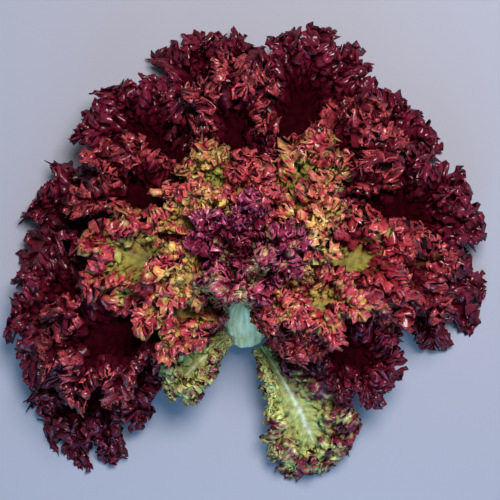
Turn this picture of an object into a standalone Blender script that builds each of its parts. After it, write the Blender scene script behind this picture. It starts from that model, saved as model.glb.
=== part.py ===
"""A head of lollo rosso lettuce, as cut, lying on a table.

A short stem carries the leaves, and each leaf is a solid of its own: a thin waved blade, thicker along its rib,
whose edge is cut into lobes and thrown into ruffles.

Metres, +Z up, the table is z = 0. +Y runs from the stem towards the far edge of the head.

The head's axis is the stem's, tilted towards the far edge. The leaves start at the stem's side, the outermost one
lowest and the heart's at its round top, the crown. A place in the head is given by its distance from the stem's
middle at its layer's height, its azimuth about the axis and its layer, from 0 at the heart to 1 at the table.
Each leaf keeps to its own layer and azimuths, so leaves don't meet however far their edges are ruffled.
"""

import math
import random

import bmesh
import bpy
import numpy as np
from mathutils import Vector

MM = 0.001

# The head
CROWN = (-2.3 * MM, -28.7 * MM, 40.0 * MM)
AXIS_TILT = math.radians(35.0)
REACH = 130 * MM
REACH_FAR_SIDE = 38 * MM
BASE_OPENING = 0.76
ARCH_POWER = 1.3
LEAVES_DOWN_STEM = 22.0 * MM
TABLE_EASE = 2.5 * MM
TABLE_PRESS = 5.0 * MM

# The stem
STEM_RADIUS = 12.5 * MM
BUTT_RADIUS = 11.5 * MM
STEM_LENGTH = 26.0 * MM
STEM_TAPER_FROM = 0.6
STEM_SIDES = 24
CROWN_RINGS = 6
BUTT_BEVEL = 1.2 * MM
STEM_SHARP_ANGLE = math.radians(40)

# A leaf
BASE_GAP = 1.4 * MM
BASE_WIDTH = 9.0 * MM
BASE_SHARE = 0.85
EDGE_END_POWER = 6
WIDEST_BIAS = 0.9
WIDEST_TURN = math.radians(57)
WIDEST_AT = 0.62
RIB_END = 0.72
RIB_HALF_WIDTH = 1.4 * MM
RIB_BASE_SHARE = 0.5
RIB_TAPER = 0.6
VEIN_LEAN = 1.2
SHORTEST_VEIN = 20.0 * MM
BLADE_THICKNESS = 0.8 * MM
RIB_THICKNESS = 2.2 * MM
RIB_FADE = 1.4
FULL_RIB_AT = 120 * MM
LOBE_DEPTH = 0.02
LOBE_JITTER = 0.02
RUFFLE_START = 0.35
RUFFLE_POWER = 1.35
RUFFLE_GROWTH = 0.9
RUFFLE_RATE = 1.3
RUFFLE_OUTWARDS = 0.2
SWAY = 0.3
SWAY_TURNS = 0.85
MARGIN_PER_WAVE = 4
SEED = 41

# Share of the way from rib to edge, and edges per wave, for each row of the blade
ROWS = ((0.0, 1), (0.36, 1), (0.62, 2), (0.84, 2), (1.0, 4))

OUTER = (0.052, 0.006, 0.012)
MIDDLE = (0.190, 0.020, 0.035)
INNER = (0.270, 0.080, 0.040)
TURNED = (0.240, 0.300, 0.080)
STEM_COLOUR = (0.620, 0.660, 0.430)

# Name, azimuth and half-spread in degrees, layer, tip distance in mm, ruffles, ruffle height in mm, colour
LEAVES = (
    ("leaf_outer_01", 199, 21, 0.97, 135, 12, 9.5, OUTER),
    ("leaf_outer_02", 181, 25, 0.84, 131, 12, 10.5, OUTER),
    ("leaf_outer_03", 152, 24, 0.99, 142, 12, 10.5, OUTER),
    ("leaf_outer_04", 127, 25, 0.84, 150, 12, 9.0, OUTER),
    ("leaf_outer_05", 100, 25, 0.99, 170, 14, 9.0, OUTER),
    ("leaf_outer_06", 71, 25, 0.84, 168, 14, 8.5, OUTER),
    ("leaf_outer_07", 51, 23, 1.01, 158, 12, 9.5, OUTER),
    ("leaf_outer_08", 26, 23, 0.84, 145, 12, 10.0, OUTER),
    ("leaf_outer_09", 12, 17, 0.99, 138, 12, 10.5, OUTER),
    ("leaf_outer_10", -22, 22, 0.84, 90, 10, 8.5, OUTER),
    ("leaf_turned_01", -54, 27, 0.99, 96, 10, 7.5, TURNED),
    ("leaf_turned_02", 226, 19, 0.83, 60, 8, 5.5, TURNED),
    ("leaf_middle_01", 199, 24, 0.71, 118, 10, 9.5, MIDDLE),
    ("leaf_middle_02", 146, 24, 0.71, 128, 10, 8.0, MIDDLE),
    ("leaf_middle_03", 95, 23, 0.71, 146, 10, 7.5, MIDDLE),
    ("leaf_middle_04", 47, 23, 0.71, 140, 12, 8.5, MIDDLE),
    ("leaf_middle_05", 4, 21, 0.71, 120, 10, 8.5, MIDDLE),
    ("leaf_middle_06", 174, 27, 0.58, 106, 10, 9.0, MIDDLE),
    ("leaf_middle_07", 112, 25, 0.58, 104, 10, 5.5, MIDDLE),
    ("leaf_middle_08", 52, 24, 0.58, 116, 10, 7.0, MIDDLE),
    ("leaf_middle_09", 4, 26, 0.58, 106, 10, 9.0, MIDDLE),
    ("leaf_middle_10", -44, 21, 0.58, 60, 8, 6.5, MIDDLE),
    ("leaf_inner_01", 214, 32, 0.46, 84, 8, 7.5, INNER),
    ("leaf_inner_02", 146, 29, 0.46, 94, 8, 6.5, INNER),
    ("leaf_inner_03", 88, 27, 0.46, 98, 8, 6.0, INNER),
    ("leaf_inner_04", 32, 27, 0.46, 100, 8, 7.0, INNER),
    ("leaf_inner_05", -28, 29, 0.46, 88, 8, 7.0, INNER),
    ("leaf_inner_06", 200, 34, 0.34, 86, 8, 7.0, INNER),
    ("leaf_inner_07", 132, 31, 0.34, 89, 8, 5.0, INNER),
    ("leaf_inner_08", 68, 30, 0.34, 92, 8, 5.0, INNER),
    ("leaf_inner_09", 6, 30, 0.34, 90, 8, 6.0, INNER),
    ("leaf_inner_10", -56, 30, 0.34, 68, 8, 5.5, INNER),
    ("leaf_heart_01", 255, 48, 0.23, 80, 8, 5.5, MIDDLE),
    ("leaf_heart_02", 164, 42, 0.22, 82, 8, 4.5, MIDDLE),
    ("leaf_heart_03", 78, 42, 0.22, 86, 8, 4.5, MIDDLE),
    ("leaf_heart_04", -10, 42, 0.22, 82, 8, 4.5, MIDDLE),
    ("leaf_heart_05", 300, 52, 0.14, 76, 8, 2.8, MIDDLE),
    ("leaf_heart_06", 120, 44, 0.13, 80, 8, 2.0, MIDDLE),
)


def clear_scene():
    for obj in list(bpy.data.objects):
        bpy.data.objects.remove(obj)


def finish_of(name, colour, roughness):
    """A plain material of one colour."""
    material = bpy.data.materials.get(name) or bpy.data.materials.new(name)
    material.use_nodes = True
    shader = material.node_tree.nodes["Principled BSDF"]
    shader.inputs["Base Color"].default_value = (*colour, 1.0)
    shader.inputs["Roughness"].default_value = roughness
    shader.inputs["Metallic"].default_value = 0.0
    material.diffuse_color = (*colour, 1.0)
    return material


def reach(azimuth):
    """Distance from the crown at which a leaf in the lowest layer comes down to the table."""
    return REACH + REACH_FAR_SIDE * np.sin(azimuth)


def opening_to_table(azimuth):
    """Angle from the head's axis to the place where the lowest layer meets the table, at each azimuth."""
    along = math.cos(AXIS_TILT)
    across = math.sin(AXIS_TILT) * np.sin(azimuth)
    drop = (CROWN[2] - LEAVES_DOWN_STEM * math.cos(AXIS_TILT)) / reach(azimuth)
    return np.arccos(-drop / np.hypot(along, across)) - np.arctan2(across, along)


def full_opening(azimuth, distance):
    """Opening of the lowest layer at a distance from the stem: leaves rise at first, then lean outwards."""
    arch = BASE_OPENING + (1 - BASE_OPENING) * (distance / reach(azimuth)) ** ARCH_POWER
    return opening_to_table(azimuth) * arch


def place_in_head(azimuth, layer, distance):
    """The point at a distance from the stem's axis, an azimuth about it and a layer."""
    opening = layer * full_opening(azimuth, distance)
    out, up = np.sin(opening), np.cos(opening)
    x = distance * out * np.cos(azimuth)
    far = distance * out * np.sin(azimuth)
    along = distance * up - LEAVES_DOWN_STEM * layer
    y = far * math.cos(AXIS_TILT) + along * math.sin(AXIS_TILT)
    z = along * math.cos(AXIS_TILT) - far * math.sin(AXIS_TILT)
    return np.stack([x + CROWN[0], y + CROWN[1], z + CROWN[2]], axis=-1)


def leaf_start(azimuth, layer):
    """Distance at which a leaf clears the stem."""
    opening = layer * float(full_opening(azimuth, STEM_RADIUS))
    down = LEAVES_DOWN_STEM * layer
    if STEM_RADIUS / math.tan(opening) < down:
        return STEM_RADIUS / math.sin(opening) + BASE_GAP
    return down * math.cos(opening) + math.sqrt(STEM_RADIUS**2 - (down * math.sin(opening)) ** 2) + BASE_GAP


def blade_outline(across, half_width, half_base, start, length):
    """(sideways, outwards) of the smooth edge: across runs from -1 at the base, by 0 at the tip, to 1 at the base."""
    turn = math.pi * abs(across)
    full = math.sin(WIDEST_TURN) * (1 + WIDEST_BIAS * math.cos(WIDEST_TURN))
    sideways = half_width * math.sin(turn) * (1 + WIDEST_BIAS * math.cos(turn)) / full
    sideways += half_base * ((1 - math.cos(turn)) / 2) ** 4
    outwards = start + length * (1 + math.cos(turn)) / 2
    return math.copysign(sideways, across), outwards


def rib_edge(across, half_rib, start, length):
    """(sideways, outwards) of the rib's side where the vein that ends at this part of the edge leaves it."""
    up = RIB_END * (1 - abs(across) ** VEIN_LEAN)
    half = half_rib * (1 - up / RIB_END) ** RIB_TAPER
    return math.copysign(half, across), start + length * up


def join_rows(mesh, inner, outer):
    """Faces between two rows of points, where the outer row has as many edges as the inner one or twice as many."""
    if len(outer) == len(inner):
        for i in range(len(inner) - 1):
            mesh.faces.new((inner[i], outer[i], outer[i + 1]))
            mesh.faces.new((inner[i], outer[i + 1], inner[i + 1]))
        return
    for i in range(len(inner) - 1):
        mesh.faces.new((inner[i], outer[2 * i], outer[2 * i + 1]))
        mesh.faces.new((inner[i], outer[2 * i + 1], inner[i + 1]))
        mesh.faces.new((inner[i + 1], outer[2 * i + 1], outer[2 * i + 2]))


def fill_rib(mesh, row):
    """Faces across the rib, between the two halves of the row along its sides."""
    last = len(row) - 1
    middle = len(row) // 2
    for i in range(middle - 1):
        mesh.faces.new((row[i], row[i + 1], row[last - i - 1]))
        mesh.faces.new((row[i], row[last - i - 1], row[last - i]))
    mesh.faces.new((row[middle - 1], row[middle], row[middle + 1]))


def add_thickness(mesh, thickness):
    """Turn the sheet into a closed body, half of each vertex's thickness to either side."""
    mesh.normal_update()
    sheet = list(mesh.verts)
    rim = [edge.link_loops[0] for edge in mesh.edges if edge.is_boundary]
    faces = list(mesh.faces)
    normals = [Vector((0, 0, 1)) if on_table(vertex.co) else vertex.normal.copy() for vertex in sheet]
    under = {}
    for vertex, normal, thick in zip(sheet, normals, thickness):
        under[vertex] = mesh.verts.new(vertex.co - normal * thick / 2)
    for vertex, normal, thick in zip(sheet, normals, thickness):
        vertex.co += normal * thick / 2
    for loop in rim:
        first, second = loop.vert, loop.link_loop_next.vert
        mesh.faces.new((second, first, under[first], under[second]))
    for face in faces:
        mesh.faces.new([under[vertex] for vertex in reversed(face.verts)])


def on_table(place):
    return place[2] < BLADE_THICKNESS / 2 + 0.001 * MM


def rest_on_table(height):
    """A height near or below the table, eased up so that the lowest parts of a leaf lie on it."""
    lowest = BLADE_THICKNESS / 2
    eased = TABLE_EASE * math.log1p(math.exp((height - lowest) / TABLE_EASE))
    return lowest + max(0.0, eased - TABLE_EASE * math.log1p(math.exp(-TABLE_PRESS / TABLE_EASE)))


def build_leaf(name, azimuth, half_spread, layer, tip, waves, height, colour):
    """One leaf: a sheet of triangles in its layer of the head, then its thickness."""
    draw = random.Random(f"{SEED} {name}")
    waves += waves % 2
    azimuth = math.radians(azimuth)
    tip *= MM
    height *= MM
    start = leaf_start(azimuth, layer)
    length = tip - start
    narrowing = math.sin(layer * float(full_opening(azimuth, WIDEST_AT * tip)))
    spread = math.tan(math.radians(half_spread) * narrowing)
    half_width = WIDEST_AT * tip * spread
    half_base = min(BASE_WIDTH / 2, BASE_SHARE * start * spread)
    stoutness = min(1.0, tip / FULL_RIB_AT)
    rib_thickness = RIB_THICKNESS * stoutness
    half_rib = min(RIB_HALF_WIDTH * stoutness, RIB_BASE_SHARE * half_base)
    margin_edges = waves * MARGIN_PER_WAVE
    lobe = [LOBE_JITTER * draw.uniform(-1, 1) - LOBE_DEPTH * (i % 2) for i in range(margin_edges + 1)]
    swell = [draw.uniform(0.7, 1.0) for _ in range(waves + 1)]
    sway_phase = draw.uniform(0, 2 * math.pi)

    mesh = bmesh.new()
    rows = []
    thickness = []
    for row_share, per_wave in ROWS:
        row = []
        edges = waves * per_wave
        for i in range(edges + 1):
            share = row_share
            across = 2 * i / edges - 1
            at_margin = i * margin_edges // edges
            rib_side, rib_out = rib_edge(across, half_rib, start, length)
            edge_side, edge_out = blade_outline(across, half_width, half_base, start, length)
            free = 1 - abs(across) ** EDGE_END_POWER
            grown = 1 + lobe[at_margin] * free
            edge_side *= grown
            edge_out = start + (edge_out - start) * grown
            rise = max(0.0, (share - RUFFLE_START) / (1 - RUFFLE_START)) ** RUFFLE_POWER
            wave_turn = 2 * math.pi * at_margin / MARGIN_PER_WAVE
            wave = rise * swell[at_margin // MARGIN_PER_WAVE]
            sway = SWAY * share * math.sin(2 * math.pi * SWAY_TURNS * across + sway_phase)
            grown_in = min(1.0, RUFFLE_RATE * max(0.0, edge_out - start) / length) ** RUFFLE_GROWTH * free
            lift = height * grown_in * (wave * math.cos(wave_turn) + sway)
            vein = max(SHORTEST_VEIN, math.hypot(edge_side - rib_side, edge_out - rib_out))
            share += RUFFLE_OUTWARDS * height * grown_in * wave * math.sin(wave_turn) / vein
            sideways = rib_side + (edge_side - rib_side) * share
            outwards = rib_out + (edge_out - rib_out) * share
            distance = math.hypot(sideways, outwards)
            turn = azimuth + math.atan2(sideways, outwards) / narrowing
            place = place_in_head(turn, layer + lift / (distance * float(full_opening(turn, distance))), distance)
            place[2] = rest_on_table(place[2])
            row.append(mesh.verts.new(place))
            rib = (1 - share / ROWS[1][0]) if share < ROWS[1][0] else 0.0
            fade = max(0.0, 1 - (outwards - start) / length) ** RIB_FADE
            thickness.append(BLADE_THICKNESS + (rib_thickness - BLADE_THICKNESS) * rib * fade)
        rows.append(row)
    fill_rib(mesh, rows[0])
    for inner, outer in zip(rows, rows[1:]):
        join_rows(mesh, inner, outer)
    add_thickness(mesh, thickness)
    bmesh.ops.recalc_face_normals(mesh, faces=mesh.faces)

    data = bpy.data.meshes.new(name)
    mesh.to_mesh(data)
    mesh.free()
    leaf = bpy.data.objects.new(name, data)
    bpy.context.scene.collection.objects.link(leaf)
    data.shade_smooth()
    data.materials.append(finish_of(name.rsplit("_", 1)[0], colour, 0.45))
    return leaf


def build_stem():
    """The stem: a round crown that the leaves stand on, tapering to the flat cut at the butt."""
    mesh = bmesh.new()
    rings = []
    for ring in range(1, CROWN_RINGS + 1):
        turn = ring / CROWN_RINGS * math.pi / 2
        rings.append((STEM_RADIUS * math.sin(turn), STEM_RADIUS * math.cos(turn)))
    rings.append((STEM_RADIUS, -STEM_LENGTH * STEM_TAPER_FROM))
    rings.append((BUTT_RADIUS, -STEM_LENGTH + BUTT_BEVEL))
    rings.append((BUTT_RADIUS - BUTT_BEVEL, -STEM_LENGTH))
    top = mesh.verts.new((0, 0, STEM_RADIUS))
    loops = []
    for radius, height in rings:
        loops.append(
            [
                mesh.verts.new(
                    (
                        radius * math.cos(2 * math.pi * side / STEM_SIDES),
                        radius * math.sin(2 * math.pi * side / STEM_SIDES),
                        height,
                    )
                )
                for side in range(STEM_SIDES)
            ]
        )
    for side in range(STEM_SIDES):
        after = (side + 1) % STEM_SIDES
        mesh.faces.new((top, loops[0][side], loops[0][after]))
        for upper, lower in zip(loops, loops[1:]):
            mesh.faces.new((upper[side], lower[side], lower[after], upper[after]))
    mesh.faces.new(list(reversed(loops[-1])))
    data = bpy.data.meshes.new("stem")
    mesh.to_mesh(data)
    mesh.free()
    stem = bpy.data.objects.new("stem", data)
    bpy.context.scene.collection.objects.link(stem)
    stem.location = CROWN
    stem.rotation_euler = (-AXIS_TILT, 0, 0)
    data.shade_smooth()
    data.set_sharp_from_angle(angle=STEM_SHARP_ANGLE)
    data.materials.append(finish_of("stem", STEM_COLOUR, 0.4))
    return stem


def main():
    clear_scene()
    build_stem()
    for leaf in LEAVES:
        build_leaf(*leaf)


main()
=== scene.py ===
"""A head of lollo rosso lettuce lying on a pale table: the looks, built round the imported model.

Every leaf is a grid that is finer towards its edge. It is placed in the head and ruffled by the formulas and
the named values of the solid that it stands for, and then frilled twice more, each time finer.
"""

import math
import random
from typing import NamedTuple

import bmesh
import bpy
import numpy as np
from bpy.props import FloatProperty, FloatVectorProperty, IntProperty, PointerProperty
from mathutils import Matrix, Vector


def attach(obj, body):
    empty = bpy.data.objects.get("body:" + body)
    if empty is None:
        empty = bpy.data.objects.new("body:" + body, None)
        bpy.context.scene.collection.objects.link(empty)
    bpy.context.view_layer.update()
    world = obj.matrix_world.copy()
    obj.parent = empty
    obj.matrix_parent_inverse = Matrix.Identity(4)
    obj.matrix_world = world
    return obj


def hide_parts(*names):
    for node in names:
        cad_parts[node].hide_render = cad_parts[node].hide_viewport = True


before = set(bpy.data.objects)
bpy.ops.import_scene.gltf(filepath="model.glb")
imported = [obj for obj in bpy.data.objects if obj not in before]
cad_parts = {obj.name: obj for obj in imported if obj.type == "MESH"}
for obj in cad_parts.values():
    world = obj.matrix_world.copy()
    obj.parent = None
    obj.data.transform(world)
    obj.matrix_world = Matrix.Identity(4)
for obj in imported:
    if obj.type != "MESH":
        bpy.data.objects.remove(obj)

bl_info = {
    "name": "Lollo Rosso Lettuce",
    "version": (1, 0, 0),
    "blender": (4, 5, 0),
    "location": "3D Viewport > Sidebar > Lettuce",
    "description": "Builds the ruffled leaves, the stem and the table of a head of lollo rosso lettuce",
    "category": "Add Mesh",
}

MM = 0.001

# The head, as in the solids
CROWN = (-2.3 * MM, -28.7 * MM, 40.0 * MM)
AXIS_TILT = math.radians(35.0)
REACH = 130 * MM
REACH_FAR_SIDE = 38 * MM
BASE_OPENING = 0.76
ARCH_POWER = 1.3
LEAVES_DOWN_STEM = 22.0 * MM
STEM_RADIUS = 12.5 * MM
BUTT_RADIUS = 11.5 * MM
STEM_LENGTH = 26.0 * MM
STEM_TAPER_FROM = 0.6
BASE_GAP = 1.4 * MM
TABLE_EASE = 2.5 * MM

# A leaf, as in the solids
BASE_WIDTH = 9.0 * MM
BASE_SHARE = 0.85
EDGE_END_POWER = 6
WIDEST_BIAS = 0.9
WIDEST_TURN = math.radians(57)
WIDEST_AT = 0.62
RIB_END = 0.72
VEIN_LEAN = 1.2
SHORTEST_VEIN = 20.0 * MM
RIB_THICKNESS = 2.2 * MM
RIB_FADE = 1.4
FULL_RIB_AT = 120 * MM
LOBE_DEPTH = 0.02
LOBE_JITTER = 0.02
RUFFLE_START = 0.35
RUFFLE_POWER = 1.35
RUFFLE_RATE = 1.3
RUFFLE_GROWTH = 0.9
RUFFLE_OUTWARDS = 0.2
SWAY = 0.3
SWAY_TURNS = 0.85
MARGIN_PER_WAVE = 4
SEED = 41

# Name of the solid, azimuth and half-spread in degrees, layer, tip distance in mm, ruffles, ruffle height
# in mm, and redness, from 0 for a green leaf to 1 for the darkest
LEAVES = (
    ("leaf_outer_01", 199, 21, 0.97, 135, 12, 9.5, 0.97),
    ("leaf_outer_02", 181, 25, 0.84, 131, 12, 10.5, 0.9),
    ("leaf_outer_03", 152, 24, 0.99, 142, 12, 10.5, 1),
    ("leaf_outer_04", 127, 25, 0.84, 150, 12, 9.0, 0.95),
    ("leaf_outer_05", 100, 25, 0.99, 170, 14, 9.0, 1),
    ("leaf_outer_06", 71, 25, 0.84, 168, 14, 8.5, 0.95),
    ("leaf_outer_07", 51, 23, 1.01, 158, 12, 9.5, 0.9),
    ("leaf_outer_08", 26, 23, 0.84, 145, 12, 10.0, 0.95),
    ("leaf_outer_09", 12, 17, 0.99, 138, 12, 10.5, 0.95),
    ("leaf_outer_10", -22, 22, 0.84, 90, 10, 8.5, 0.95),
    ("leaf_turned_01", -54, 27, 0.99, 96, 10, 7.5, 0.5),
    ("leaf_turned_02", 226, 19, 0.83, 60, 8, 5.5, 0.32),
    ("leaf_middle_01", 199, 24, 0.71, 118, 10, 9.5, 1.0),
    ("leaf_middle_02", 146, 24, 0.71, 128, 10, 8.0, 0.95),
    ("leaf_middle_03", 95, 23, 0.71, 146, 10, 7.5, 1.0),
    ("leaf_middle_04", 47, 23, 0.71, 140, 12, 8.5, 0.95),
    ("leaf_middle_05", 4, 21, 0.71, 120, 10, 8.5, 0.9),
    ("leaf_middle_06", 174, 27, 0.58, 106, 10, 9.0, 0.6),
    ("leaf_middle_07", 112, 25, 0.58, 104, 10, 5.5, 0.35),
    ("leaf_middle_08", 52, 24, 0.58, 116, 10, 7.0, 0.5),
    ("leaf_middle_09", 4, 26, 0.58, 106, 10, 9.0, 0.7),
    ("leaf_middle_10", -44, 21, 0.58, 60, 8, 6.5, 0.8),
    ("leaf_inner_01", 214, 32, 0.46, 84, 8, 7.5, 0.62),
    ("leaf_inner_02", 146, 29, 0.46, 94, 8, 6.5, 0.5),
    ("leaf_inner_03", 88, 27, 0.46, 98, 8, 6.0, 0.7),
    ("leaf_inner_04", 32, 27, 0.46, 100, 8, 7.0, 0.45),
    ("leaf_inner_05", -28, 29, 0.46, 88, 8, 7.0, 0.62),
    ("leaf_inner_06", 200, 34, 0.34, 86, 8, 7.0, 0.45),
    ("leaf_inner_07", 132, 31, 0.34, 89, 8, 5.0, 0.4),
    ("leaf_inner_08", 68, 30, 0.34, 92, 8, 5.0, 0.8),
    ("leaf_inner_09", 6, 30, 0.34, 90, 8, 6.0, 0.4),
    ("leaf_inner_10", -56, 30, 0.34, 68, 8, 5.5, 0.6),
    ("leaf_heart_01", 255, 48, 0.23, 80, 8, 5.5, 0.55),
    ("leaf_heart_02", 164, 42, 0.22, 82, 8, 4.5, 0.8),
    ("leaf_heart_03", 78, 42, 0.22, 86, 8, 4.5, 0.85),
    ("leaf_heart_04", -10, 42, 0.22, 82, 8, 4.5, 0.75),
    ("leaf_heart_05", 300, 52, 0.14, 76, 8, 2.8, 0.6),
    ("leaf_heart_06", 120, 44, 0.13, 80, 8, 2.0, 0.8),
)

# How much redder a leaf is towards the end of its edge that lies anticlockwise
RED_LEAN = {"leaf_turned_01": 0.28}

# The grid of a leaf: columns at its rib, shares of the blade at which its rows lie, and the rows past which
# it has twice as many columns
COLUMNS = {"outer": 212, "turned": 130, "middle": 142, "inner": 104, "heart": 76}
ROWS = (
    0, 0.16, 0.28, 0.36, 0.43, 0.49, 0.545, 0.6, 0.65, 0.7, 0.745, 0.79, 0.83, 0.87, 0.905, 0.94, 0.97, 1,
)
FINER_PAST = (2, 12)

# The share of the blade at which the rib has thinned to the blade's own thickness, what is left of the
# solid's lobes under the frills, and how far past the edge the ruffles would go on growing
RIB_SIDE = 0.12
LOBES_LEFT = 0.5
RISE_LIMIT = 1.3

# Frills of the second size to each ruffle, and of the finest size to each of those
FRILLS = {
    "outer": (3.8, 4.0),
    "turned": (3.2, 4.0),
    "middle": (3.6, 4.0),
    "inner": (3.4, 4.0),
    "heart": (3.2, 3.8),
}

# Shares of the blade at which the second and the finest frills begin
FRILL_STARTS = {
    "outer": (0.12, 0.3),
    "turned": (0.15, 0.45),
    "middle": (0.12, 0.3),
    "inner": (0.1, 0.3),
    "heart": (0.1, 0.4),
}

# Share of the blade by which the upper ruffles are shorter, and the upper frills of each finer size
FOLD_BACK = {"outer": 0.34, "turned": 0.36, "middle": 0.46, "inner": 0.46, "heart": 0.4}
FOLD_BACK_POWER = 1.6
FOLD_BACK_RANGE = (0.3, 1.7)
FRILL_BACK = {
    "outer": (0.1, 0.04),
    "turned": (0.06, 0.03),
    "middle": (0.1, 0.04),
    "inner": (0.1, 0.04),
    "heart": (0.1, 0.04),
}
FRILL_BACK_RANGE = (0.2, 1.8)

# The share of the blade over which the second frill grows, the share at which the finest is full grown, and
# how far the crests of each stand out beyond the blade, as a share of the frill's height
SECOND_GROWS_OVER = 0.3
FINEST_FULL_GROWN = 0.85
SECOND_STANDS_OUT = 0.4
FINEST_STANDS_OUT = 0.7

# Both finer frills: their height on the smallest leaves as a share of that on the largest, how much it
# comes and goes along the edge and how slowly, how it ends at the leaf's base, how far the frills bulge
# over their own foot, and the step by which the surface under them is felt
SMALLEST_FRILL = 0.6
FRILL_MEAN, FRILL_SWING, FRILL_BEAT = 0.8, 0.3, 0.37
FRILL_END_POWER = 8
FRILL_OVERHANG = 0.5
FRILL_STEP = 0.002

# How the lines of the finer frills wind over the blade: turns outwards, along the edge and with the leaf's
# own wander, all in radians, and how strongly. Then how strongly the wander alone moves ruffles and frills
MEANDERS = ((17, 0.7, 2, 2.4), (29, -0.55, 1, 1.2))
WANDER_OF_RUFFLES = 0.5
WANDER_OF_FRILLS = 2.2

# A leaf's own wander along its edge: the waves that add up, the rate of the first and their size together
WANDER_WAVES = 4
FIRST_WANDER = 1.5
WANDER_RATE = 1.7
WANDER_SIZE = 2.8

# Shares of the blade over which the crests of the ruffles, the second and the finest frills are painted
# lighter: a painted highlight on the crests and painted shade in the troughs between them
CREST_SPANS = ((0.3, 0.8), (0.4, 0.9), (0.6, 1.0))

# The nibbled edge: the share of the blade where it begins, and the spread of its steps
NIBBLE_STARTS = 0.8
NIBBLE_SPREAD = 0.5

# The share of the cup that the lower ruffles have, and of the easing that lifts a leaf off the table
LEAST_CUP = 0.4
TABLE_SHARE = 0.98

# A length too small to matter when a direction is made one unit long, and a step of the flat grid that is
# none
NO_LENGTH = 1e-9
NO_STEP = 1e-6

# The stem: its grid, the share of its outline up to which its top is smooth, the shares at which its side
# starts and ends, how deep the cut is dished and how far in, how uneven the side is, and the turns round and
# along it of its leaf scars. Then its ridges and their height as a share of the unevenness
STEM_GRID = (72, 60)
STEM_SMOOTH_TOP = 0.1
STEM_SIDE_STARTS = 0.3
STEM_SIDE_ENDS = 0.8
CUT_DISH = 0.6 * MM
CUT_DISH_SHARE = 0.6
STEM_UNEVEN = 0.35 * MM
STEM_SCARS = ((3, 700), (5, -400))
STEM_RIDGES = (13, 0.6)

# The table: its size in m, how far it lies below the lowest leaves, and its roughness
TABLE_SIZE = 4
TABLE_GAP = 0.2 * MM
TABLE_ROUGHNESS = 0.6

# The lights: name, place, size in m, power in W and colour. Then the place that they are aimed at, and the
# light of the sky
LIGHTS = (
    ("key", (0.15, 0.30, 1.0), 0.4, 14.5, (1.0, 0.95, 0.93)),
    ("fill", (0.0, -0.70, 0.5), 0.6, 5.0, (0.22, 0.60, 1.0)),
)
LIGHTS_AIM = (0, 0, 0.03)
SKY_COLOUR = (0.70, 0.84, 1.0, 1)
SKY_STRENGTH = 0.24

# The camera: its height over the table, the width that it sees there and the width of its sensor
CAMERA_HEIGHT = 0.9
PHOTO_WIDTH = 0.56 * MM * 500
SENSOR_MM = 36


def kind_of(name):
    return name.split("_")[1]


class LettuceSettings(bpy.types.PropertyGroup):
    """Sizes and colours of the head."""

    blade_thickness: FloatProperty(
        name="Blade Thickness",
        description="Thickness of a leaf away from its rib",
        default=0.5 * MM,
        unit="LENGTH",
    )
    second_frill: FloatProperty(
        name="Second Frill",
        description="Height of the second frill at the edge",
        default=4.0 * MM,
        unit="LENGTH",
    )
    finest_frill: FloatProperty(
        name="Finest Frill",
        description="Height of the finest frill at the edge",
        default=1.6 * MM,
        unit="LENGTH",
    )
    fold_back: FloatProperty(
        name="Fold Back",
        description="How much the upper ruffles are shorter, times each kind's own",
        default=1.0,
        subtype="FACTOR",
    )
    teeth: FloatProperty(
        name="Teeth",
        description="How far the very edge is nibbled in and out",
        default=0.8 * MM,
        unit="LENGTH",
    )
    cup: FloatProperty(
        name="Cup",
        description="How far the edges turn up towards the heart",
        default=6.0 * MM,
        unit="LENGTH",
    )
    overhang: FloatProperty(
        name="Overhang",
        description="How far the ruffles bulge over their own foot",
        default=0.5,
        subtype="FACTOR",
    )
    seed: IntProperty(
        name="Seed",
        description="Draw of the small differences between leaves",
        default=SEED,
    )
    table_colour: FloatVectorProperty(
        name="Table",
        description="Colour of the table",
        default=(0.27, 0.275, 0.335),
        subtype="COLOR",
    )


def reach(azimuth):
    """Distance from the crown at which a leaf in the lowest layer comes down to the table."""
    return REACH + REACH_FAR_SIDE * np.sin(azimuth)


def opening_to_table(azimuth):
    """Angle from the head's axis to the place where the lowest layer meets the table, at each azimuth."""
    along = math.cos(AXIS_TILT)
    across = math.sin(AXIS_TILT) * np.sin(azimuth)
    drop = (CROWN[2] - LEAVES_DOWN_STEM * math.cos(AXIS_TILT)) / reach(azimuth)
    return np.arccos(-drop / np.hypot(along, across)) - np.arctan2(across, along)


def full_opening(azimuth, distance):
    """Opening of the lowest layer at a distance from the stem: leaves rise at first, then lean outwards."""
    arch = BASE_OPENING + (1 - BASE_OPENING) * (distance / reach(azimuth)) ** ARCH_POWER
    return opening_to_table(azimuth) * arch


def place_in_head(azimuth, layer, distance):
    """The points at distances from the stem's axis, azimuths about it and layers."""
    opening = layer * full_opening(azimuth, distance)
    out, up = np.sin(opening), np.cos(opening)
    x = distance * out * np.cos(azimuth)
    far = distance * out * np.sin(azimuth)
    along = distance * up - LEAVES_DOWN_STEM * layer
    y = far * math.cos(AXIS_TILT) + along * math.sin(AXIS_TILT)
    z = along * math.cos(AXIS_TILT) - far * math.sin(AXIS_TILT)
    return np.stack([x + CROWN[0], y + CROWN[1], z + CROWN[2]], axis=-1)


def leaf_start(azimuth, layer):
    """Distance at which a leaf clears the stem."""
    opening = layer * float(full_opening(azimuth, STEM_RADIUS))
    down = LEAVES_DOWN_STEM * layer
    if STEM_RADIUS / math.tan(opening) < down:
        return STEM_RADIUS / math.sin(opening) + BASE_GAP
    return down * math.cos(opening) + math.sqrt(STEM_RADIUS**2 - (down * math.sin(opening)) ** 2) + BASE_GAP


def ease_in(values, start, end):
    """0 before start, 1 past end, and smooth between."""
    t = np.clip((values - start) / (end - start), 0, 1)
    return t * t * (3 - 2 * t)


def ease_straight(values, start, end):
    """0 before start, 1 past end, and straight between."""
    return np.clip((values - start) / (end - start), 0, 1)


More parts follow.
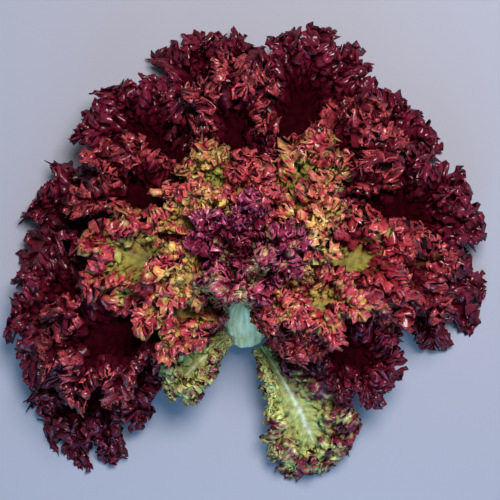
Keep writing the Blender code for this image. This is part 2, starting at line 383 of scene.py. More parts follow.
class Frill(NamedTuple):
    """One size of frill: how many there are along the edge, and their shape."""

    count: float
    height: float
    starts: float
    full_grown: float
    stands_out: float
    back: float


class Leaf:
    """The surface of one leaf.

    Across runs along the edge from -1 to 1, with the tip at 0, and share runs from the rib to the edge.
    """

    def __init__(self, row, settings):
        self.name, azimuth, half_spread, self.layer, tip, waves, height, self.redness = row
        draw = random.Random(f"{SEED} {self.name}")
        self.waves = waves + waves % 2
        self.azimuth = math.radians(azimuth)
        self.tip = tip * MM
        self.height = height * MM
        self.start = leaf_start(self.azimuth, self.layer)
        self.length = self.tip - self.start
        self.narrowing = math.sin(self.layer * float(full_opening(self.azimuth, WIDEST_AT * self.tip)))
        spread = math.tan(math.radians(half_spread) * self.narrowing)
        self.half_width = WIDEST_AT * self.tip * spread
        self.half_base = min(BASE_WIDTH / 2, BASE_SHARE * self.start * spread)
        self.stoutness = min(1.0, self.tip / FULL_RIB_AT)
        edges = self.waves * MARGIN_PER_WAVE
        self.lobes = [LOBE_JITTER * draw.uniform(-1, 1) - LOBE_DEPTH * (i % 2) for i in range(edges + 1)]
        self.swells = [draw.uniform(0.7, 1.0) for _ in range(self.waves + 1)]
        self.sway_phase = draw.uniform(0, 2 * math.pi)
        self.fold_back = settings.fold_back * FOLD_BACK[kind_of(self.name)]
        self.teeth = settings.teeth
        self.cup = settings.cup
        self.overhang = settings.overhang
        self.seed = settings.seed
        finer = random.Random(f"{settings.seed} {self.name} frills")
        self.wobbles = [finer.uniform(0, 2 * math.pi) for _ in range(3 * WANDER_WAVES)]
        self.folds = [finer.uniform(*FOLD_BACK_RANGE) for _ in range(self.waves + 1)]
        self.frills = self.finer_frills(kind_of(self.name), settings)
        self.uneven = [
            [finer.uniform(*FRILL_BACK_RANGE) for _ in range(int(frill.count) + 2)] for frill in self.frills
        ]

    def finer_frills(self, kind, settings):
        """The second and the finest frills of this leaf."""
        to_a_ruffle, to_a_frill = FRILLS[kind]
        second_starts, finest_starts = FRILL_STARTS[kind]
        second_back, finest_back = FRILL_BACK[kind]
        large = SMALLEST_FRILL + (1 - SMALLEST_FRILL) * self.stoutness
        second = Frill(
            count=self.waves * to_a_ruffle,
            height=settings.second_frill * large,
            starts=second_starts,
            full_grown=second_starts + SECOND_GROWS_OVER,
            stands_out=SECOND_STANDS_OUT,
            back=second_back,
        )
        finest = Frill(
            count=self.waves * to_a_ruffle * to_a_frill,
            height=settings.finest_frill * large,
            starts=finest_starts,
            full_grown=FINEST_FULL_GROWN,
            stands_out=FINEST_STANDS_OUT,
            back=finest_back,
        )
        return second, finest

    def wobble(self, across, first):
        """A smooth wander between about -1 and 1 along the edge."""
        total = 0
        for k in range(WANDER_WAVES):
            rate = (k + FIRST_WANDER) * math.pi
            total = total + np.sin(rate * across * WANDER_RATE + self.wobbles[first + k])
        return total / WANDER_SIZE

    def smooth_edge(self, across):
        turn = math.pi * np.abs(across)
        full = math.sin(WIDEST_TURN) * (1 + WIDEST_BIAS * math.cos(WIDEST_TURN))
        sideways = self.half_width * np.sin(turn) * (1 + WIDEST_BIAS * np.cos(turn)) / full
        sideways = sideways + self.half_base * ((1 - np.cos(turn)) / 2) ** 4
        outwards = self.length * (1 + np.cos(turn)) / 2
        return np.sign(across) * sideways, outwards

    def broad(self, across, share):
        """The surface with the ruffles that its solid has, cupped and folded back."""
        waves = (across + 1) / 2 * self.waves
        free = np.clip(1 - np.abs(across) ** EDGE_END_POWER, 0, 1)
        turn = self.turn_of(across, share, 0)
        rise = np.clip((share - RUFFLE_START) / (1 - RUFFLE_START), 0, RISE_LIMIT) ** RUFFLE_POWER
        swell = np.interp(waves, np.arange(self.waves + 1), self.swells)
        upper = (1 - np.cos(turn)) / 2 * swell * free
        across = across + self.overhang * rise * np.sin(2 * turn) / (math.pi * self.waves) * free
        across = np.clip(across, -1, 1)
        places = np.linspace(-1, 1, len(self.lobes))
        grown = 1 + LOBES_LEFT * np.interp(across, places, self.lobes) * free
        edge_side, edge_out = self.smooth_edge(across)
        edge_side, edge_out = edge_side * grown, edge_out * grown
        rib_out = self.length * RIB_END * (1 - np.abs(across) ** VEIN_LEAN)
        sway = SWAY * share * np.sin(2 * SWAY_TURNS * math.pi * across + self.sway_phase)
        grown_in = np.minimum(1.0, RUFFLE_RATE * np.maximum(0.0, edge_out) / self.length)
        grown_in = grown_in**RUFFLE_GROWTH * free
        lift = self.height * grown_in * (rise * swell * np.cos(turn) + sway)
        lift = lift - self.cup * grown_in * rise * (LEAST_CUP + (1 - LEAST_CUP) * upper)
        vein = np.maximum(np.hypot(edge_side, edge_out - rib_out), SHORTEST_VEIN)
        fold = np.interp(waves, np.arange(self.waves + 1), self.folds)
        share = share * (1 - self.fold_back * fold * upper**FOLD_BACK_POWER)
        share = share + RUFFLE_OUTWARDS * self.height * grown_in * rise * swell * np.sin(turn) / vein
        sideways = edge_side * share
        outwards = self.start + rib_out + (edge_out - rib_out) * share
        distance = np.hypot(sideways, outwards)
        azimuth = self.azimuth + np.arctan2(sideways, outwards) / self.narrowing
        layer = self.layer + lift / (distance * full_opening(azimuth, distance))
        return place_in_head(azimuth, layer, distance)

    def turn_of(self, across, share, level):
        """Phase of the frills of one level, 0 where they stand furthest out from the heart."""
        if level == 0:
            wander = WANDER_OF_RUFFLES * self.wobble(across, 0)
            return math.pi * self.waves * (across + 1) + wander * (1 - np.abs(across) ** EDGE_END_POWER)
        wander = self.wobble(across, WANDER_WAVES * (level - 1))
        count = self.frills[level - 1].count
        meander = 0
        for outwards, along, with_wander, strength in MEANDERS:
            winding = outwards * share + along * count * across + with_wander * wander
            meander = meander + strength * np.sin(winding)
        return math.pi * count * (across + 1) + WANDER_OF_FRILLS * wander + meander / level

    def crest(self, across, share):
        """How far each point stands in towards the heart on its ruffle and frills, from 0 to 1."""
        total = 0
        for level, (start, end) in enumerate(CREST_SPANS):
            total = total + (1 - np.cos(self.turn_of(across, share, level))) * ease_in(share, start, end)
        return total / (2 * len(CREST_SPANS))

    def nibble(self, share):
        """Small uneven steps of the points near the edge."""
        draw = np.random.default_rng([self.seed, self.waves, int(self.tip / MM)])
        step = self.teeth * ease_in(share, NIBBLE_STARTS, 1.0)
        return draw.normal(0, NIBBLE_SPREAD, (len(share), 3)) * step[:, None]

    def surface(self, across, share, level):
        """The surface with the first few of its finer frills, each thrown out from the one before it."""
        if level == 0:
            return self.broad(across, share)
        frill = self.frills[level - 1]
        turn = self.turn_of(across, share, level)
        uneven = self.uneven[level - 1]
        uneven = np.interp(turn / (2 * math.pi), np.arange(len(uneven)), uneven)
        grown = ease_in(share, frill.starts, frill.full_grown)
        share = share * (1 - frill.back * uneven * (1 - np.cos(turn)) / 2 * grown)
        place = self.surface(across, share, level - 1)
        step = FRILL_STEP / level
        along = self.surface(across + step, share, level - 1) - place
        outward = self.surface(across, share + 4 * step, level - 1) - place
        along /= np.linalg.norm(along, axis=-1, keepdims=True) + NO_LENGTH
        normal = np.cross(along, outward)
        normal /= np.linalg.norm(normal, axis=-1, keepdims=True) + NO_LENGTH
        outward = np.cross(normal, along)
        size = frill.height * ease_in(share, frill.starts, frill.full_grown)
        size = size * (FRILL_MEAN + FRILL_SWING * np.sin(turn * FRILL_BEAT))
        size = (size * (1 - np.abs(across) ** FRILL_END_POWER))[..., None]
        turn = turn[..., None]
        place = place + size * np.cos(turn) * normal
        place = place + size * FRILL_OVERHANG * np.sin(2 * turn) * along
        return place + size * frill.stands_out * np.cos(turn) * outward


def rest_on_table(heights, lowest):
    """Heights near or below the table eased up until the lowest lie on it."""
    return lowest + TABLE_EASE * np.logaddexp(0, (heights - lowest) / TABLE_EASE) * TABLE_SHARE


def select_lengthwise(blade, row):
    """Select the edges of a blade's grid that run along its rows, from one row outwards."""
    mesh = bmesh.from_edit_mesh(blade.data)
    limit = 2 * row / (len(ROWS) - 1) - 1 - NO_STEP
    for edge in mesh.edges:
        first, second = edge.verts[0].co, edge.verts[1].co
        edge.select = abs(first.y - second.y) < NO_STEP and first.y > limit
    bmesh.update_edit_mesh(blade.data)


def add_blade_grid(name, columns):
    """A flat grid, x along the edge and y from rib to edge, with more columns towards the edge."""
    bpy.ops.object.select_all(action="DESELECT")
    bpy.ops.mesh.primitive_grid_add(x_subdivisions=columns, y_subdivisions=len(ROWS) - 1, size=2)
    blade = bpy.context.object
    blade.name = name
    bpy.ops.object.mode_set(mode="EDIT")
    bpy.ops.mesh.select_mode(type="EDGE")
    for row in FINER_PAST:
        select_lengthwise(blade, row)
        bpy.ops.mesh.subdivide(number_cuts=1, ngon=False)
    bpy.ops.object.mode_set(mode="OBJECT")
    return blade


def shape_leaf(settings, row):
    """One leaf from a flat grid: place it, frill it, join it along the rib and give it its thickness."""
    leaf = Leaf(row, settings)
    kind = kind_of(leaf.name)
    piece = add_blade_grid("frilled_" + leaf.name[5:], COLUMNS[kind])
    data = piece.data
    flat = np.empty(len(data.vertices) * 3)
    data.vertices.foreach_get("co", flat)
    flat = flat.reshape(-1, 3)
    across = flat[:, 0]
    share = np.interp((flat[:, 1] + 1) / 2, np.linspace(0, 1, len(ROWS)), ROWS)
    place = leaf.surface(across, share, 2)
    place += leaf.nibble(share)
    place[:, 2] = rest_on_table(place[:, 2], settings.blade_thickness / 2)
    data.vertices.foreach_set("co", place.ravel())

    layout = data.uv_layers[0] if data.uv_layers else data.uv_layers.new(name="blade")
    layout.name = "blade"
    corner = np.empty(len(data.loops), dtype=np.int32)
    data.loops.foreach_get("vertex_index", corner)
    uv = np.stack([(across[corner] + 1) / 2, share[corner]], axis=-1)
    layout.data.foreach_set("uv", uv.ravel())
    redness = leaf.redness + RED_LEAN.get(leaf.name, 0) * across
    # The crest attribute carries painted light: a painted highlight on the crests and painted shade in the
    # troughs
    for name, values in (("redness", redness), ("crest", leaf.crest(across, share))):
        layer = data.attributes.new(name, "FLOAT", "POINT")
        layer.data.foreach_set("value", values.astype(np.float32))

    rib = np.clip(1 - share / RIB_SIDE, 0, 1)
    rib = rib * np.clip(1 - (1 - np.abs(across)) ** VEIN_LEAN, 0, 1) ** RIB_FADE
    rib_thickness = RIB_THICKNESS * leaf.stoutness
    thickness = settings.blade_thickness + (rib_thickness - settings.blade_thickness) * rib
    group = piece.vertex_groups.new(name="thickness")
    for index, value in enumerate(thickness):
        if rib[index] > 0:
            group.add([index], float(value / RIB_THICKNESS), "REPLACE")
    thin = [int(index) for index in np.nonzero(rib <= 0)[0]]
    group.add(thin, settings.blade_thickness / RIB_THICKNESS, "REPLACE")

    bpy.ops.object.mode_set(mode="EDIT")
    bpy.ops.mesh.select_all(action="SELECT")
    bpy.ops.mesh.remove_doubles(threshold=0.01 * MM)
    bpy.ops.mesh.normals_make_consistent(inside=False)
    bpy.ops.object.mode_set(mode="OBJECT")
    solid = piece.modifiers.new("thickness", "SOLIDIFY")
    solid.thickness = RIB_THICKNESS
    solid.offset = 0.0
    solid.vertex_group = "thickness"
    bpy.ops.object.modifier_apply(modifier=solid.name)
    bpy.ops.object.shade_smooth()
    piece.vertex_groups.clear()
    finish = leaf_finish(kind)
    piece.data.materials.clear()
    piece.data.materials.append(finish)
    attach(piece, "root")
    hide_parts(leaf.name)
    return piece


# Colours, linear: the darkest frills, and the near-black blade of the reddest leaves, partly their own dark
# colour and partly painted shade on their covered bases; then the rib, blade, frill and edge of each kind
DEEP_RED = (0.068, 0.0030, 0.0105, 1)
DARK_BLADE_AND_SHADE = (0.026, 0.0012, 0.004, 1)
# The edge colours are the margin's own colour made lighter by a painted highlight; the frills and edges of
# the outer and heart leaves are partly tinted bluer as a painted violet sheen
FINISHES = {
    "outer": ((0.05, 0.008, 0.008), (0.06, 0.008, 0.008), (0.084, 0.0036, 0.011), (0.165, 0.012, 0.034)),
    "turned": ((0.76, 0.78, 0.56), (0.48, 0.50, 0.16), (0.13, 0.016, 0.030), (0.20, 0.030, 0.050)),
    "middle": ((0.30, 0.27, 0.08), (0.36, 0.31, 0.07), (0.230, 0.015, 0.026), (0.50, 0.075, 0.078)),
    "inner": ((0.36, 0.35, 0.12), (0.62, 0.42, 0.11), (0.300, 0.022, 0.040), (0.62, 0.120, 0.110)),
    "heart": ((0.66, 0.66, 0.36), (0.52, 0.36, 0.18), (0.200, 0.013, 0.044), (0.48, 0.085, 0.180)),
}

# Noises of a blade, each with its scale and detail
CLOUDS = (75, 3)
FLECKS = (230, 3)
BLISTERS = (300, 2)
SPECKS = (900, 2)

# Where a blade is red: how strongly clouds and flecks count, and the share and the redness past which it
# reddens, each with how quickly. Then the same for the share at which the rib's colour gives way
MOTTLING = 4.0
REDDENS_OUTWARDS = (0.62, 1.5)
REDDENS_WITH_REDNESS = (0.4, 3.0)
LEAVES_RIB = (0.01, 14.0)

# Redness over which a frill turns to the darkest and a blade and rib to the near-black one, partly their own
# colour and partly painted shade, and the shares of the blade over which the painted shade on the covered
# base of such a blade gives way
DEEP_SPAN = (0.7, 1.0)
INSIDE_SPAN = (0.86, 0.94)
PAINTED_SHADE_SPAN = (0.3, 0.65)

# The coloured edge, the margin's own colour with a painted highlight along the rim: its shares of the blade,
# the specks that break it up, and its strength
EDGE_SPAN = (0.93, 0.99)
EDGE_SPECKS = (0.35, 0.6)
EDGE_STRENGTH = 0.8

# Veins to each side of the rib, how thin they are, and the share and the redness at which they are gone
VEINS = 22
VEIN_SHARPNESS = 10
VEINS_GONE_SHARE = 0.6
VEINS_GONE_REDNESS = 1.05

# Painted light and shade on a blade: its least brightness, which is painted shade in the troughs, and the
# painted highlights that lit blisters and crests add
SHADE = 0.46
BLISTER_SPAN = (0.36, 0.64)
BLISTER_HIGHLIGHT_ADD = 0.35
CREST_HIGHLIGHT_ADD = 0.95

# Gloss: the shares of the blade over which it comes in, its coat and the coat's roughness, and the roughness
# under it with what the specks add
GLOSSY_SPAN = (0.5, 0.75)
COAT = 0.7
COAT_ROUGHNESS = 0.25
ROUGHNESS = 0.3
SPECKS_ROUGHEN = 0.3

# Relief: its depth, the part of blisters and specks in it, and what is left of it where the blade isn't
# glossy
RELIEF_DEPTH = 0.6 * MM
BLISTER_RELIEF = 2.0
SPECK_RELIEF = 0.5
LEAST_RELIEF = 0.3

# Light that passes through leaf and stem: its share, how far each colour goes, and over what length
LEAF_GLOW = (0.25, (1.0, 0.35, 0.25), 1.5 * MM)
STEM_GLOW = (0.3, (1.0, 0.8, 0.4), 2 * MM)

# The stem's finish: how its fibres are drawn out, the scale and detail of the fibres and of the mottled cut,
# the noise over which both change colour, where the cut begins, the depth of the fibres, the roughness, and
# the two colours of the side and of the cut
FIBRE_STRETCH = (24, 2, 1)
FIBRES = (2, 3)
CUT_MOTTLE = (260, 3)
MOTTLE_SPAN = (0.35, 0.65)
CUT_BLEND = 0.03
FIBRE_DEPTH = 0.4 * MM
STEM_ROUGHNESS = 0.4
STEM_SIDE = ((0.52, 0.50, 0.20, 1), (0.86, 0.78, 0.50, 1))
STEM_CUT = ((0.30, 0.15, 0.06, 1), (0.66, 0.52, 0.32, 1))


def new_socket(group, name, kind, way, default=None):
    socket = group.interface.new_socket(name=name, in_out=way, socket_type=kind)
    if default is not None:
        socket.default_value = default
    return socket


def wire(group, source, target):
    group.links.new(source, target)


def maths(group, operation, first, second=None, clamp=False):
    """A maths node; each value is a number or a socket."""
    node = group.nodes.new("ShaderNodeMath")
    node.operation = operation
    node.use_clamp = clamp
    for socket, value in zip(node.inputs, (first, second)):
        if value is None:
            continue
        if isinstance(value, (int, float)):
            socket.default_value = value
        else:
            wire(group, value, socket)
    return node.outputs[0]


def blend_colours(group, factor, first, second):
    node = group.nodes.new("ShaderNodeMix")
    node.data_type = "RGBA"
    node.clamp_factor = True
    for socket, value in ((node.inputs[0], factor), (node.inputs[6], first), (node.inputs[7], second)):
        if isinstance(value, (int, float, tuple)):
            socket.default_value = value
        else:
            wire(group, value, socket)
    return node.outputs[2]


def texture_noise(group, place, scale, detail):
    node = group.nodes.new("ShaderNodeTexNoise")
    node.inputs["Scale"].default_value = scale
    node.inputs["Detail"].default_value = detail
    wire(group, place, node.inputs["Vector"])
    return node.outputs[0]


def span(group, value, low, high):
    """0 below low, 1 above high, and straight between."""
    node = group.nodes.new("ShaderNodeMapRange")
    node.inputs["From Min"].default_value = low
    node.inputs["From Max"].default_value = high
    wire(group, value, node.inputs["Value"])
    return node.outputs[0]


def past(group, value, start, gain, clamp=False):
    """How far a value is past a start, times a gain."""
    return maths(group, "MULTIPLY", maths(group, "SUBTRACT", value, start), gain, clamp)


def attribute(group, name):
    node = group.nodes.new("ShaderNodeAttribute")
    node.attribute_name = name
    return node.outputs["Fac"]


def blade_pattern():
    """Colours of a blade from rib to edge, its veins and its blisters, as a group that every leaf uses; it
    also paints light and shade: highlights on crests, blisters and the edge, and shade in the troughs and on
    the covered bases of the reddest leaves.
    """
    found = bpy.data.node_groups.get("Blade Pattern")
    if found:
        return found
    group = bpy.data.node_groups.new("Blade Pattern", "ShaderNodeTree")
    for name in ("Rib", "Blade", "Frill", "Edge"):
        new_socket(group, name, "NodeSocketColor", "INPUT", (0.5, 0.5, 0.5, 1))
    new_socket(group, "Color", "NodeSocketColor", "OUTPUT")
    new_socket(group, "Roughness", "NodeSocketFloat", "OUTPUT")
    new_socket(group, "Relief", "NodeSocketFloat", "OUTPUT")
    new_socket(group, "Coat", "NodeSocketFloat", "OUTPUT")
    given = group.nodes.new("NodeGroupInput")
    out = group.nodes.new("NodeGroupOutput")

    uv = group.nodes.new("ShaderNodeUVMap")
    uv.uv_map = "blade"
    split = group.nodes.new("ShaderNodeSeparateXYZ")
    wire(group, uv.outputs[0], split.inputs[0])
    across, share = split.outputs[0], split.outputs[1]
    place = group.nodes.new("ShaderNodeTexCoord").outputs["Object"]
    redness, crest = attribute(group, "redness"), attribute(group, "crest")
    clouds = texture_noise(group, place, *CLOUDS)
    flecks = texture_noise(group, place, *FLECKS)
    blisters = texture_noise(group, place, *BLISTERS)
    specks = texture_noise(group, place, *SPECKS)

    patches = maths(group, "ADD", past(group, clouds, 0.5, MOTTLING), past(group, flecks, 0.5, MOTTLING))
    outwards = past(group, share, *REDDENS_OUTWARDS)
    ripe = past(group, redness, *REDDENS_WITH_REDNESS)
    in_frill = maths(group, "ADD", maths(group, "ADD", patches, outwards), ripe, clamp=True)
    off_rib = past(group, share, *LEAVES_RIB, clamp=True)
    edge_and_highlight = maths(group, "MULTIPLY", span(group, share, *EDGE_SPAN), span(group, specks, *EDGE_SPECKS))
    # Painted shade: the reddest leaves get a near-black blade and rib, partly their own colour, and
    # near-black painted shade on their covered bases
    inside = span(group, redness, *INSIDE_SPAN)
    out_of_painted_shade = span(group, share, *PAINTED_SHADE_SPAN)
    painted_shade = maths(group, "MULTIPLY", inside, maths(group, "SUBTRACT", 1.0, out_of_painted_shade))

    veins = maths(group, "SINE", maths(group, "MULTIPLY", across, 2 * math.pi * VEINS))
    veins = maths(group, "POWER", maths(group, "ABSOLUTE", veins), VEIN_SHARPNESS)
    fade = maths(group, "SUBTRACT", VEINS_GONE_SHARE, share, clamp=True)
    veins = maths(group, "MULTIPLY", veins, fade)
    fade = maths(group, "SUBTRACT", VEINS_GONE_REDNESS, redness, clamp=True)
    veins = maths(group, "MULTIPLY", veins, fade)

    frill = blend_colours(group, span(group, redness, *DEEP_SPAN), given.outputs["Frill"], DEEP_RED)
    blade = blend_colours(group, inside, given.outputs["Blade"], DARK_BLADE_AND_SHADE)
    rib = blend_colours(group, inside, given.outputs["Rib"], DARK_BLADE_AND_SHADE)
    colour = blend_colours(group, in_frill, blade, frill)
    # Painted shade on the covered bases of the reddest leaves
    colour = blend_colours(group, painted_shade, colour, DARK_BLADE_AND_SHADE)
    colour = blend_colours(group, off_rib, rib, colour)
    colour = blend_colours(group, veins, colour, rib)
    # The edge colour is laid on as a painted highlight along the rim, over the margin's own colour
    edge = maths(group, "MULTIPLY", edge_and_highlight, EDGE_STRENGTH)
    colour = blend_colours(group, edge, colour, given.outputs["Edge"])

    # Painted light and shade: lit blisters and crests are painted lighter, and the troughs are painted
    # darker
    lit = maths(group, "MULTIPLY", span(group, blisters, *BLISTER_SPAN), BLISTER_HIGHLIGHT_ADD)
    shade = maths(group, "ADD", SHADE, lit)
    shade = maths(group, "ADD", shade, maths(group, "MULTIPLY", crest, CREST_HIGHLIGHT_ADD))
    lighter = group.nodes.new("ShaderNodeHueSaturation")
    wire(group, colour, lighter.inputs["Color"])
    wire(group, shade, lighter.inputs["Value"])
    wire(group, lighter.outputs[0], out.inputs["Color"])

    glossy = span(group, share, *GLOSSY_SPAN)
    rough = maths(group, "ADD", ROUGHNESS, maths(group, "MULTIPLY", specks, SPECKS_ROUGHEN))
    wire(group, rough, out.inputs["Roughness"])
    wire(group, maths(group, "MULTIPLY", glossy, COAT), out.inputs["Coat"])
    relief = maths(group, "MULTIPLY", blisters, BLISTER_RELIEF)
    relief = maths(group, "ADD", relief, maths(group, "MULTIPLY", specks, SPECK_RELIEF))
    strength = maths(group, "ADD", LEAST_RELIEF, maths(group, "MULTIPLY", glossy, 1 - LEAST_RELIEF))
    wire(group, maths(group, "MULTIPLY", relief, strength), out.inputs["Relief"])
    return group


def set_glow(shader, share, reach_of_colours, length):
    """Let some light pass through."""
    shader.inputs["Subsurface Weight"].default_value = share
    shader.inputs["Subsurface Radius"].default_value = reach_of_colours
    shader.inputs["Subsurface Scale"].default_value = length


def leaf_finish(kind):
    """The finish of one kind of leaf."""
    name = "leaf_" + kind
    found = bpy.data.materials.get(name + "_finish")
    if found:
        return found
    material = bpy.data.materials.new(name + "_finish")
    material.use_nodes = True
    nodes = material.node_tree
    shader = nodes.nodes["Principled BSDF"]
    pattern = nodes.nodes.new("ShaderNodeGroup")
    pattern.node_tree = blade_pattern()
    for socket, colour in zip(("Rib", "Blade", "Frill", "Edge"), FINISHES[kind]):
        pattern.inputs[socket].default_value = (*colour, 1)
    wire(nodes, pattern.outputs["Color"], shader.inputs["Base Color"])
    wire(nodes, pattern.outputs["Roughness"], shader.inputs["Roughness"])
    bump = nodes.nodes.new("ShaderNodeBump")
    bump.inputs["Distance"].default_value = RELIEF_DEPTH
    wire(nodes, pattern.outputs["Relief"], bump.inputs["Height"])
    wire(nodes, bump.outputs[0], shader.inputs["Normal"])
    set_glow(shader, *LEAF_GLOW)
    wire(nodes, pattern.outputs["Coat"], shader.inputs["Coat Weight"])
    shader.inputs["Coat Roughness"].default_value = COAT_ROUGHNESS
    shader.inputs["Specular IOR Level"].default_value = 0
    return material


def stem_finish():
    """Moist pale green with fibres down the side, browned on the cut."""
    material = bpy.data.materials.new("stem_finish")
    material.use_nodes = True
    nodes = material.node_tree
    shader = nodes.nodes["Principled BSDF"]
    place = nodes.nodes.new("ShaderNodeTexCoord").outputs["Object"]
    uv = nodes.nodes.new("ShaderNodeUVMap")
    uv.uv_map = "stem"
    stretch = nodes.nodes.new("ShaderNodeVectorMath")
    stretch.operation = "MULTIPLY"
    stretch.inputs[1].default_value = FIBRE_STRETCH
    wire(nodes, uv.outputs[0], stretch.inputs[0])
    fibres = texture_noise(nodes, stretch.outputs[0], *FIBRES)
    mottle = texture_noise(nodes, place, *CUT_MOTTLE)
    split = nodes.nodes.new("ShaderNodeSeparateXYZ")
    wire(nodes, uv.outputs[0], split.inputs[0])
    cut = span(nodes, split.outputs[1], STEM_SIDE_ENDS, STEM_SIDE_ENDS + CUT_BLEND)
    side = blend_colours(nodes, span(nodes, fibres, *MOTTLE_SPAN), *STEM_SIDE)
    browned = blend_colours(nodes, span(nodes, mottle, *MOTTLE_SPAN), *STEM_CUT)
    wire(nodes, blend_colours(nodes, cut, side, browned), shader.inputs["Base Color"])
    shader.inputs["Roughness"].default_value = STEM_ROUGHNESS
    set_glow(shader, *STEM_GLOW)
    bump = nodes.nodes.new("ShaderNodeBump")
    bump.inputs["Distance"].default_value = FIBRE_DEPTH
    wire(nodes, fibres, bump.inputs["Height"])
    wire(nodes, bump.outputs[0], shader.inputs["Normal"])
    return material


def build_kind(kind):
    settings = bpy.context.scene.lettuce
    for row in LEAVES:
        if kind_of(row[0]) == kind:
            shape_leaf(settings, row)


class LETTUCE_OT_outer_leaves(bpy.types.Operator):
    """Build the dark outer leaves."""

    bl_idname = "lettuce.outer_leaves"
    bl_label = "Outer Leaves"

    def execute(self, context):
        build_kind("outer")
        return {"FINISHED"}


class LETTUCE_OT_turned_leaves(bpy.types.Operator):
    """Build the two green leaves below the stem."""

    bl_idname = "lettuce.turned_leaves"
    bl_label = "Turned Leaves"

    def execute(self, context):
        build_kind("turned")
        return {"FINISHED"}


class LETTUCE_OT_middle_leaves(bpy.types.Operator):
    """Build the red middle leaves."""

    bl_idname = "lettuce.middle_leaves"
    bl_label = "Middle Leaves"

    def execute(self, context):
        build_kind("middle")
        return {"FINISHED"}


class LETTUCE_OT_inner_leaves(bpy.types.Operator):
    """Build the pink and yellow-green inner leaves."""

    bl_idname = "lettuce.inner_leaves"
    bl_label = "Inner Leaves"

    def execute(self, context):
        build_kind("inner")
        return {"FINISHED"}


class LETTUCE_OT_heart_leaves(bpy.types.Operator):
    """Build the small leaves of the heart."""

    bl_idname = "lettuce.heart_leaves"
    bl_label = "Heart Leaves"

    def execute(self, context):
        build_kind("heart")
        return {"FINISHED"}


def stem_profile(along):
    """Radius and height along the outline, from the top of the crown at 0 to the middle of the cut at 1."""
    turn = np.clip(along / STEM_SIDE_STARTS, 0, 1) * math.pi / 2
    down = ease_straight(along, STEM_SIDE_STARTS, STEM_SIDE_ENDS)
    inwards = ease_straight(along, STEM_SIDE_ENDS, 1)
    radius = STEM_RADIUS * np.sin(turn)
    radius = radius - (STEM_RADIUS - BUTT_RADIUS) * ease_straight(down, STEM_TAPER_FROM, 1)
    radius = radius * (1 - inwards)
    height = STEM_RADIUS * np.cos(turn) - STEM_LENGTH * down
    return radius, height + CUT_DISH * ease_in(inwards, 0, CUT_DISH_SHARE)


class LETTUCE_OT_stem(bpy.types.Operator):
    """Build the cut stem."""

    bl_idname = "lettuce.stem"
    bl_label = "Stem"

    def execute(self, context):
        bpy.ops.object.select_all(action="DESELECT")
        segments, rings = STEM_GRID
        bpy.ops.mesh.primitive_uv_sphere_add(segments=segments, ring_count=rings, radius=1)
        stem = context.object
        stem.name = "cut_stem"
        data = stem.data
        points = np.empty(len(data.vertices) * 3)
        data.vertices.foreach_get("co", points)
        points = points.reshape(-1, 3)
        turn = np.arctan2(points[:, 1], points[:, 0])
        along = np.arccos(np.clip(points[:, 2], -1, 1)) / math.pi
        radius, height = stem_profile(along)
        on_side = ease_in(along, STEM_SMOOTH_TOP, STEM_SIDE_STARTS)
        on_side = on_side * (1 - ease_in(along, STEM_SIDE_ENDS, 1))
        scars = 1
        for turns_round, turns_along in STEM_SCARS:
            scars = scars * np.sin(turns_round * turn + turns_along * height)
        ridges, ridge_height = STEM_RIDGES
        radius = radius + STEM_UNEVEN * on_side * (scars + ridge_height * np.sin(ridges * turn))
        x, y = radius * np.cos(turn), radius * np.sin(turn)
        far = y * math.cos(AXIS_TILT) + height * math.sin(AXIS_TILT)
        up = height * math.cos(AXIS_TILT) - y * math.sin(AXIS_TILT)
        place = np.stack([x + CROWN[0], far + CROWN[1], up + CROWN[2]], axis=-1)
        data.vertices.foreach_set("co", place.ravel())
        layout = data.uv_layers[0]
        layout.name = "stem"
        corner = np.empty(len(data.loops), dtype=np.int32)
        data.loops.foreach_get("vertex_index", corner)
        uv = np.empty(len(data.loops) * 2)
        layout.data.foreach_get("uv", uv)
        uv = uv.reshape(-1, 2)
        uv[:, 1] = along[corner]
        layout.data.foreach_set("uv", uv.ravel())
        bpy.ops.object.shade_smooth()
        data.materials.append(stem_finish())
        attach(stem, "root")
        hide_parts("stem")
        return {"FINISHED"}


def aim(obj, target):
    direction = Vector(target) - obj.location
    obj.rotation_euler = direction.to_track_quat("-Z", "Y").to_euler()


def add_softbox(name, place, size, power, colour):
    data = bpy.data.lights.new(name, "AREA")
    data.shape = "DISK"
    data.size = size
    data.energy = power
    data.color = colour
    light = bpy.data.objects.new(name, data)
    bpy.context.scene.collection.objects.link(light)
    light.location = place
    aim(light, LIGHTS_AIM)


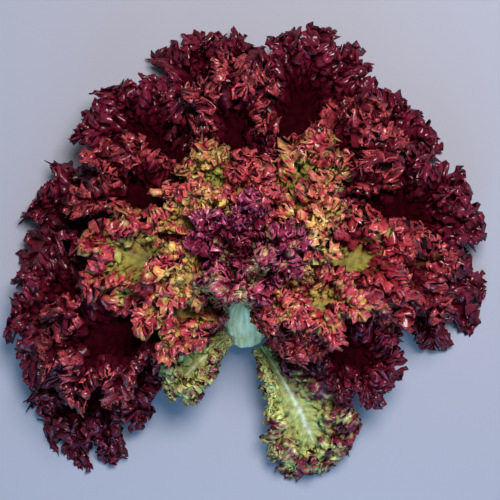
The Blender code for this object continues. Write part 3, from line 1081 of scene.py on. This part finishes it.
class LETTUCE_OT_stage(bpy.types.Operator):
    """Build the table, the lights and the camera."""

    bl_idname = "lettuce.stage"
    bl_label = "Stage"

    def execute(self, context):
        settings = context.scene.lettuce
        bpy.ops.object.select_all(action="DESELECT")
        bpy.ops.mesh.primitive_plane_add(size=TABLE_SIZE, location=(0, 0, -TABLE_GAP))
        table = context.object
        table.name = "table_top"
        material = bpy.data.materials.new("painted_table")
        material.use_nodes = True
        shader = material.node_tree.nodes["Principled BSDF"]
        shader.inputs["Base Color"].default_value = (*settings.table_colour, 1)
        shader.inputs["Roughness"].default_value = TABLE_ROUGHNESS
        table.data.materials.append(material)

        for light in LIGHTS:
            add_softbox(*light)
        world = bpy.data.worlds.new("sky") if not context.scene.world else context.scene.world
        context.scene.world = world
        world.use_nodes = True
        sky = world.node_tree.nodes["Background"]
        sky.inputs["Color"].default_value = SKY_COLOUR
        sky.inputs["Strength"].default_value = SKY_STRENGTH

        data = bpy.data.cameras.new("camera")
        data.sensor_width = SENSOR_MM
        data.lens = SENSOR_MM * CAMERA_HEIGHT / PHOTO_WIDTH
        camera = bpy.data.objects.new("camera", data)
        context.scene.collection.objects.link(camera)
        camera.location = (0, 0, CAMERA_HEIGHT)
        context.scene.camera = camera
        context.scene.view_settings.view_transform = "Standard"
        return {"FINISHED"}


class LETTUCE_PT_panel(bpy.types.Panel):
    """The head's settings and the steps that build it."""

    bl_idname = "LETTUCE_PT_panel"
    bl_label = "Lollo Rosso Lettuce"
    bl_space_type = "VIEW_3D"
    bl_region_type = "UI"
    bl_category = "Lettuce"

    def draw(self, context):
        settings = context.scene.lettuce
        for name in LettuceSettings.__annotations__:
            self.layout.prop(settings, name)
        for step in STEPS:
            self.layout.operator(step.bl_idname)


STEPS = (
    LETTUCE_OT_outer_leaves,
    LETTUCE_OT_turned_leaves,
    LETTUCE_OT_middle_leaves,
    LETTUCE_OT_inner_leaves,
    LETTUCE_OT_heart_leaves,
    LETTUCE_OT_stem,
    LETTUCE_OT_stage,
)


def register():
    bpy.utils.register_class(LettuceSettings)
    for step in STEPS:
        bpy.utils.register_class(step)
    bpy.utils.register_class(LETTUCE_PT_panel)
    bpy.types.Scene.lettuce = PointerProperty(type=LettuceSettings)


def unregister():
    del bpy.types.Scene.lettuce
    bpy.utils.unregister_class(LETTUCE_PT_panel)
    for step in reversed(STEPS):
        bpy.utils.unregister_class(step)
    bpy.utils.unregister_class(LettuceSettings)


def main():
    register()
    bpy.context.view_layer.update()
    bpy.ops.lettuce.outer_leaves()
    bpy.ops.lettuce.turned_leaves()
    bpy.ops.lettuce.middle_leaves()
    bpy.ops.lettuce.inner_leaves()
    bpy.ops.lettuce.heart_leaves()
    bpy.ops.lettuce.stem()
    bpy.ops.lettuce.stage()


if __name__ == "__main__":
    main()
